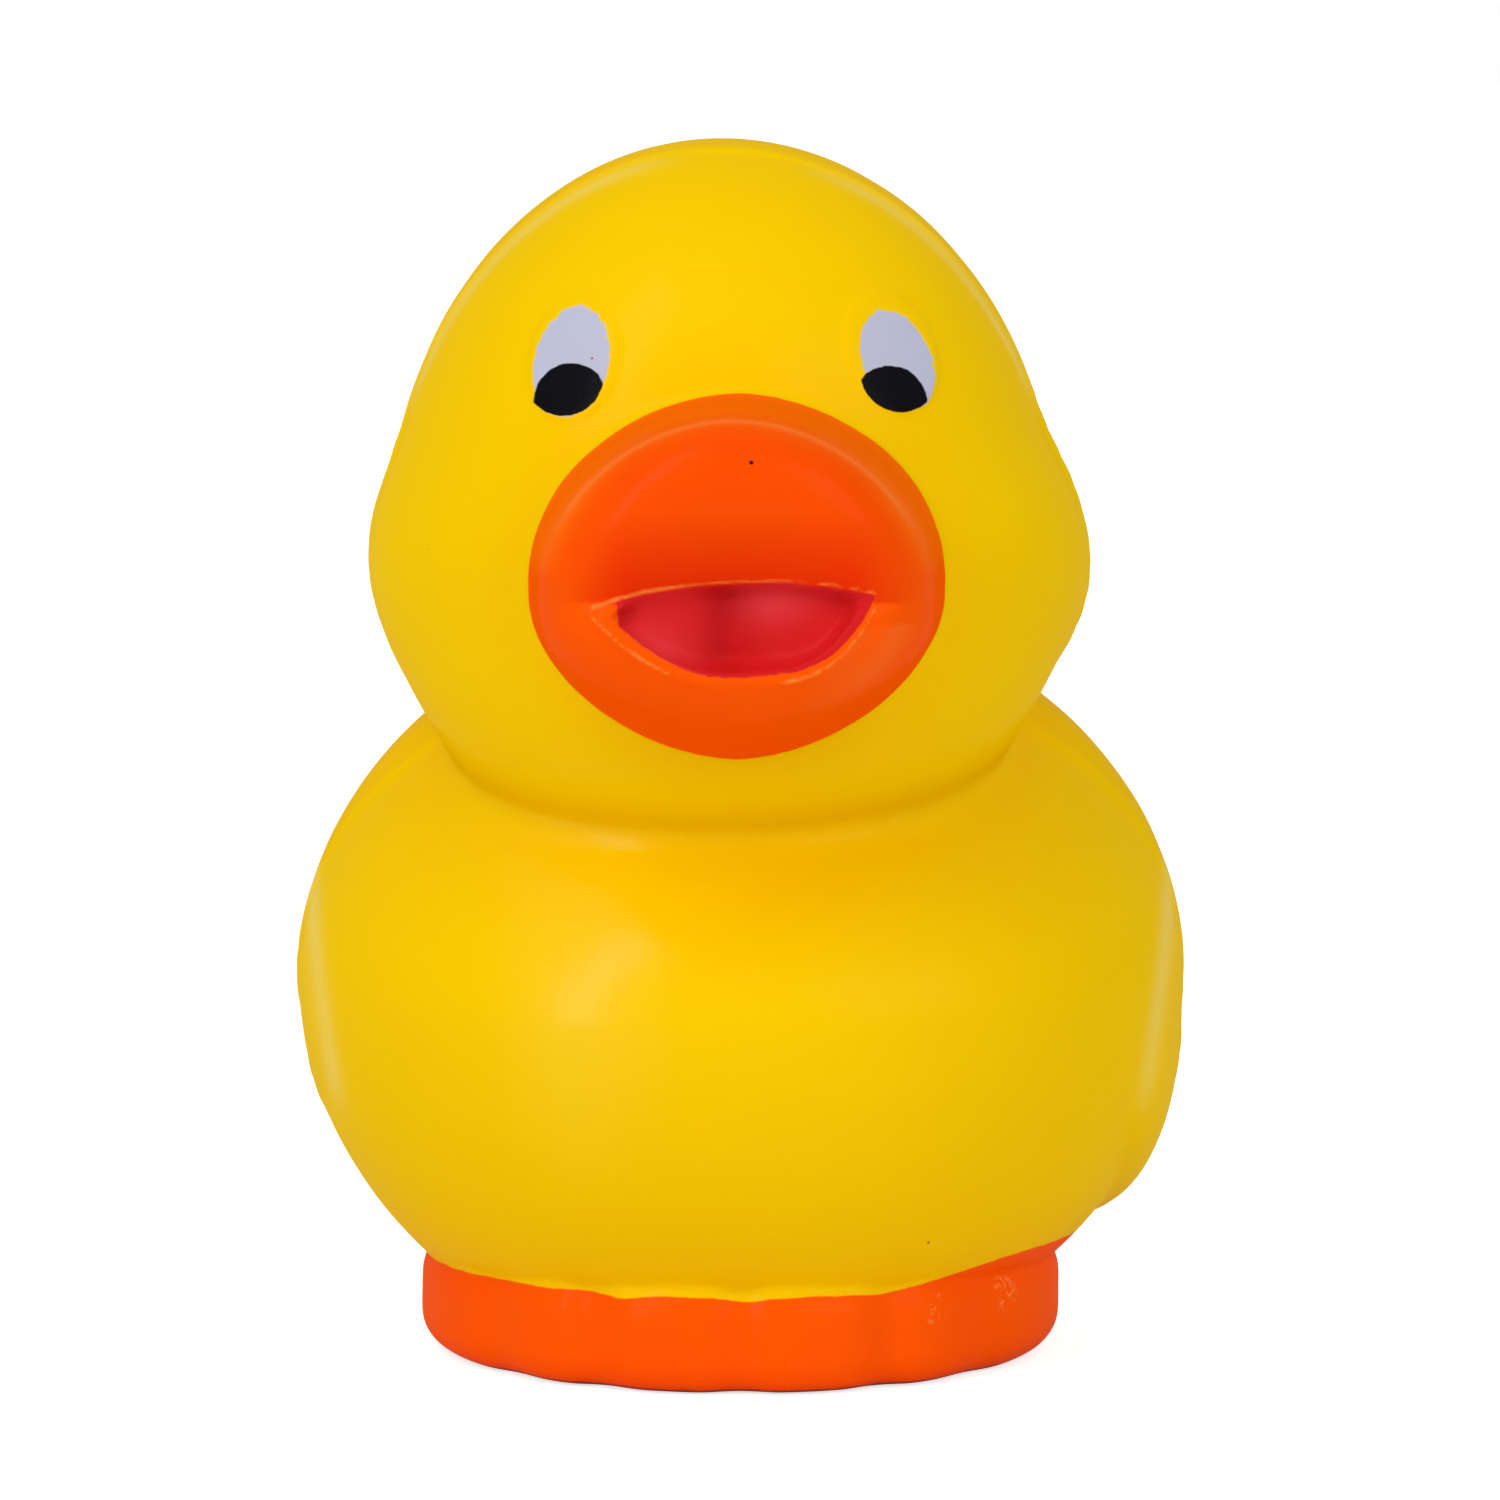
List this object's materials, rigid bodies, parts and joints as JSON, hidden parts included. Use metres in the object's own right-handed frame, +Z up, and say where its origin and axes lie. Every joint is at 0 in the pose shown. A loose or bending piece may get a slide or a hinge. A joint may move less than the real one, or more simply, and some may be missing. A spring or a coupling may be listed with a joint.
{
  "type": "foam duck stress toy",
  "caption": "Squeezable duck moulded in one piece of soft skinned foam, painted, with an open bill, folded wings and flat feet to stand on.",
  "frame": {"origin": "centre of the bounding box's underside, on the flat sole the duck stands on", "axes": "+Z up through the head; the duck looks along -Y, so the bill points to -Y and the tail to +Y; +X is to the right of someone who faces the duck"},
  "size_m": [0.061, 0.0782, 0.0828],
  "materials": {
    "duck_skin": "satin yellow foam skin; bill and feet painted orange, mouth red, eyes white with black pupils"
  },
  "bodies": {
    "root": {"duck": "duck_skin"}
  },
  "joints": []
}
